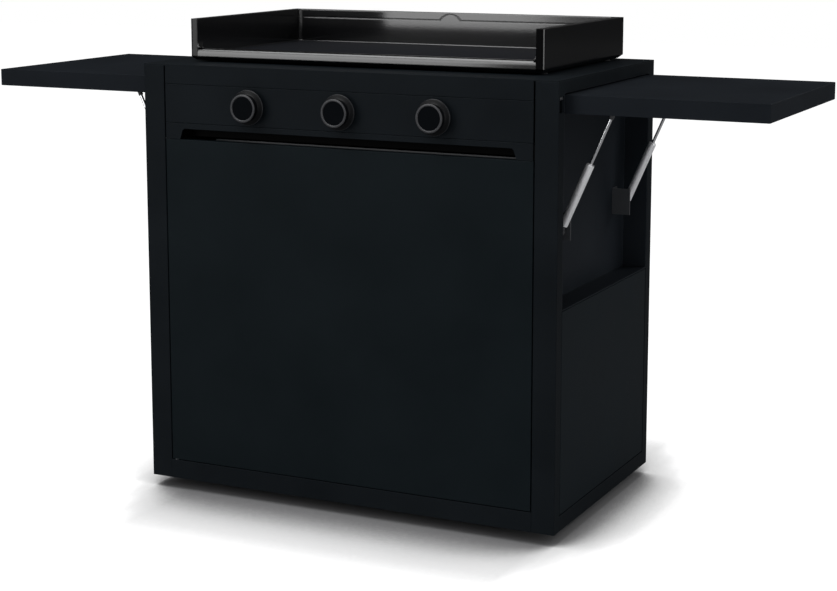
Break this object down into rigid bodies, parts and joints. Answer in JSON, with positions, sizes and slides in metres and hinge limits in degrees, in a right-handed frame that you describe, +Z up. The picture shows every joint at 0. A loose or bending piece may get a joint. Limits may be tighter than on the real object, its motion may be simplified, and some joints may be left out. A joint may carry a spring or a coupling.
{
  "type": "gas plancha griddle on a closed trolley",
  "caption": "Gas griddle with a raised-wall hotplate on a closed black cabinet: front door, grease drawer, control knobs, folding side shelves on gas struts and hidden casters.",
  "frame": {"origin": "On the floor under the middle of the whole object, knobs included", "axes": "+X along the front to the right shelf, +Y to the back, +Z up"},
  "size_m": [1.594, 0.538, 0.927],
  "materials": {
    "cabinet_black": "satin powder coat",
    "panel_black": "satin powder coat",
    "door_black": "satin powder coat",
    "bracket_black": "satin",
    "zinc_steel": "zinc plated",
    "strut_steel": "satin",
    "rod_chrome": "polished",
    "wheel_rubber": "matte",
    "plate_enamel": "glossy enamel",
    "burner_steel": "satin",
    "gas_brass": "satin",
    "knob_plastic": "satin"
  },
  "bodies": {
    "cabinet": {"side_frame_left": "cabinet_black", "side_frame_right": "cabinet_black", "recess_pan_left": "panel_black", "recess_pan_right": "panel_black", "side_panel_left": "panel_black", "side_panel_right": "panel_black", "bottom_rail": "cabinet_black", "base_panel": "cabinet_black", "back_panel": "cabinet_black", "panel_screws": "bracket_black", "door_hinges": "zinc_steel", "door_magnets": "bracket_black", "shelf_pins": "zinc_steel", "strut_brackets": "bracket_black", "caster_plates": "zinc_steel", "top_frame": "cabinet_black", "chassis": "panel_black", "control_panel": "cabinet_black", "plate_feet": "wheel_rubber", "burner_left": "burner_steel", "burner_middle": "burner_steel", "burner_right": "burner_steel", "heat_shield": "zinc_steel", "igniters": "burner_steel", "gas_manifold": "gas_brass", "gas_valves": "gas_brass", "drawer_runners": "zinc_steel"},
    "door": {"front_door": "door_black"},
    "drawer": {"grease_drawer": "cabinet_black"},
    "plate": {"griddle_plate": "plate_enamel"},
    "shelf_right": {"shelf_right": "panel_black", "shelf_lugs_right": "bracket_black"},
    "strut_tube_right_front": {"strut_tube_right_front": "strut_steel"},
    "strut_rod_right_front": {"strut_rod_right_front": "rod_chrome"},
    "strut_tube_right_rear": {"strut_tube_right_rear": "strut_steel"},
    "strut_rod_right_rear": {"strut_rod_right_rear": "rod_chrome"},
    "shelf_left": {"shelf_left": "panel_black", "shelf_lugs_left": "bracket_black"},
    "strut_tube_left_front": {"strut_tube_left_front": "strut_steel"},
    "strut_rod_left_front": {"strut_rod_left_front": "rod_chrome"},
    "strut_tube_left_rear": {"strut_tube_left_rear": "strut_steel"},
    "strut_rod_left_rear": {"strut_rod_left_rear": "rod_chrome"},
    "caster_fork_left_front": {"caster_fork_left_front": "zinc_steel"},
    "caster_wheel_left_front": {"caster_wheel_left_front": "wheel_rubber"},
    "caster_fork_left_rear": {"caster_fork_left_rear": "zinc_steel"},
    "caster_wheel_left_rear": {"caster_wheel_left_rear": "wheel_rubber"},
    "caster_fork_right_front": {"caster_fork_right_front": "zinc_steel"},
    "caster_wheel_right_front": {"caster_wheel_right_front": "wheel_rubber"},
    "caster_fork_right_rear": {"caster_fork_right_rear": "zinc_steel"},
    "caster_wheel_right_rear": {"caster_wheel_right_rear": "wheel_rubber"},
    "valve_left": {"valve_plug_left": "gas_brass"},
    "knob_left": {"valve_stem_left": "rod_chrome", "knob_left": "knob_plastic"},
    "valve_middle": {"valve_plug_middle": "gas_brass"},
    "knob_middle": {"valve_stem_middle": "rod_chrome", "knob_middle": "knob_plastic"},
    "valve_right": {"valve_plug_right": "gas_brass"},
    "knob_right": {"valve_stem_right": "rod_chrome", "knob_right": "knob_plastic"}
  },
  "joints": [
    {"name": "door_swing", "type": "hinge", "parent": "cabinet", "child": "door", "pos_m": [-0.375, -0.2345, 0.379], "axis": [0, 0, -1], "range_deg": [0, 110]},
    {"name": "drawer_slide", "type": "slide", "parent": "cabinet", "child": "drawer", "axis": [0, -1, 0], "range_m": [0, 0.3]},
    {"name": "plate_lift", "type": "slide", "parent": "cabinet", "child": "plate", "axis": [0, 0, 1], "range_m": [0, 0.1]},
    {"name": "shelf_right_fold", "type": "hinge", "parent": "cabinet", "child": "shelf_right", "pos_m": [0.424, 0.015, 0.811], "axis": [0, 1, 0], "range_deg": [0, 90]},
    {"name": "strut_swing_right_front", "type": "hinge", "parent": "cabinet", "child": "strut_tube_right_front", "pos_m": [0.403, -0.155, 0.563], "axis": [0, 1, 0], "range_deg": [-23.3, 0]},
    {"name": "strut_stroke_right_front", "type": "slide", "parent": "strut_tube_right_front", "child": "strut_rod_right_front", "axis": [0.4035, 0, 0.915], "range_m": [-0.0825, 0]},
    {"name": "strut_swing_right_rear", "type": "hinge", "parent": "cabinet", "child": "strut_tube_right_rear", "pos_m": [0.403, 0.185, 0.563], "axis": [0, 1, 0], "range_deg": [-23.3, 0]},
    {"name": "strut_stroke_right_rear", "type": "slide", "parent": "strut_tube_right_rear", "child": "strut_rod_right_rear", "axis": [0.4035, 0, 0.915], "range_m": [-0.0825, 0]},
    {"name": "shelf_left_fold", "type": "hinge", "parent": "cabinet", "child": "shelf_left", "pos_m": [-0.424, 0.015, 0.811], "axis": [0, -1, 0], "range_deg": [0, 90]},
    {"name": "strut_swing_left_front", "type": "hinge", "parent": "cabinet", "child": "strut_tube_left_front", "pos_m": [-0.403, -0.155, 0.563], "axis": [0, -1, 0], "range_deg": [-23.3, 0]},
    {"name": "strut_stroke_left_front", "type": "slide", "parent": "strut_tube_left_front", "child": "strut_rod_left_front", "axis": [-0.4035, 0, 0.915], "range_m": [-0.0825, 0]},
    {"name": "strut_swing_left_rear", "type": "hinge", "parent": "cabinet", "child": "strut_tube_left_rear", "pos_m": [-0.403, 0.185, 0.563], "axis": [0, -1, 0], "range_deg": [-23.3, 0]},
    {"name": "strut_stroke_left_rear", "type": "slide", "parent": "strut_tube_left_rear", "child": "strut_rod_left_rear", "axis": [-0.4035, 0, 0.915], "range_m": [-0.0825, 0]},
    {"name": "caster_swivel_left_front", "type": "hinge", "parent": "cabinet", "child": "caster_fork_left_front", "pos_m": [-0.315, -0.144, 0.061], "axis": [0, 0, 1], "continuous": true},
    {"name": "caster_roll_left_front", "type": "hinge", "parent": "caster_fork_left_front", "child": "caster_wheel_left_front", "pos_m": [-0.315, -0.128, 0.025], "axis": [1, 0, 0], "continuous": true},
    {"name": "caster_swivel_left_rear", "type": "hinge", "parent": "cabinet", "child": "caster_fork_left_rear", "pos_m": [-0.315, 0.174, 0.061], "axis": [0, 0, 1], "continuous": true},
    {"name": "caster_roll_left_rear", "type": "hinge", "parent": "caster_fork_left_rear", "child": "caster_wheel_left_rear", "pos_m": [-0.315, 0.19, 0.025], "axis": [1, 0, 0], "continuous": true},
    {"name": "caster_swivel_right_front", "type": "hinge", "parent": "cabinet", "child": "caster_fork_right_front", "pos_m": [0.315, -0.144, 0.061], "axis": [0, 0, 1], "continuous": true},
    {"name": "caster_roll_right_front", "type": "hinge", "parent": "caster_fork_right_front", "child": "caster_wheel_right_front", "pos_m": [0.315, -0.128, 0.025], "axis": [1, 0, 0], "continuous": true},
    {"name": "caster_swivel_right_rear", "type": "hinge", "parent": "cabinet", "child": "caster_fork_right_rear", "pos_m": [0.315, 0.174, 0.061], "axis": [0, 0, 1], "continuous": true},
    {"name": "caster_roll_right_rear", "type": "hinge", "parent": "caster_fork_right_rear", "child": "caster_wheel_right_rear", "pos_m": [0.315, 0.19, 0.025], "axis": [1, 0, 0], "continuous": true},
    {"name": "knob_turn_left", "type": "hinge", "parent": "cabinet", "child": "valve_left", "pos_m": [-0.193, -0.201, 0.76925], "axis": [0, -1, 0], "range_deg": [0, 210]},
    {"name": "knob_push_left", "type": "slide", "parent": "valve_left", "child": "knob_left", "axis": [0, 1, 0], "range_m": [0, 0.004], "stiffness_N_per_m": 900},
    {"name": "knob_turn_middle", "type": "hinge", "parent": "cabinet", "child": "valve_middle", "pos_m": [0, -0.201, 0.76925], "axis": [0, -1, 0], "range_deg": [0, 210]},
    {"name": "knob_push_middle", "type": "slide", "parent": "valve_middle", "child": "knob_middle", "axis": [0, 1, 0], "range_m": [0, 0.004], "stiffness_N_per_m": 900},
    {"name": "knob_turn_right", "type": "hinge", "parent": "cabinet", "child": "valve_right", "pos_m": [0.193, -0.201, 0.76925], "axis": [0, -1, 0], "range_deg": [0, 210]},
    {"name": "knob_push_right", "type": "slide", "parent": "valve_right", "child": "knob_right", "axis": [0, 1, 0], "range_m": [0, 0.004], "stiffness_N_per_m": 900}
  ],
  "couplings": [
    {"joint": "strut_swing_right_front", "follows": "shelf_right_fold", "ratio": -0.25686},
    {"joint": "strut_stroke_right_front", "follows": "shelf_right_fold", "m_per_rad": -0.052376},
    {"joint": "strut_swing_right_rear", "follows": "shelf_right_fold", "ratio": -0.25686},
    {"joint": "strut_stroke_right_rear", "follows": "shelf_right_fold", "m_per_rad": -0.052376},
    {"joint": "strut_swing_left_front", "follows": "shelf_left_fold", "ratio": -0.25686},
    {"joint": "strut_stroke_left_front", "follows": "shelf_left_fold", "m_per_rad": -0.052376},
    {"joint": "strut_swing_left_rear", "follows": "shelf_left_fold", "ratio": -0.25686},
    {"joint": "strut_stroke_left_rear", "follows": "shelf_left_fold", "m_per_rad": -0.052376}
  ]
}
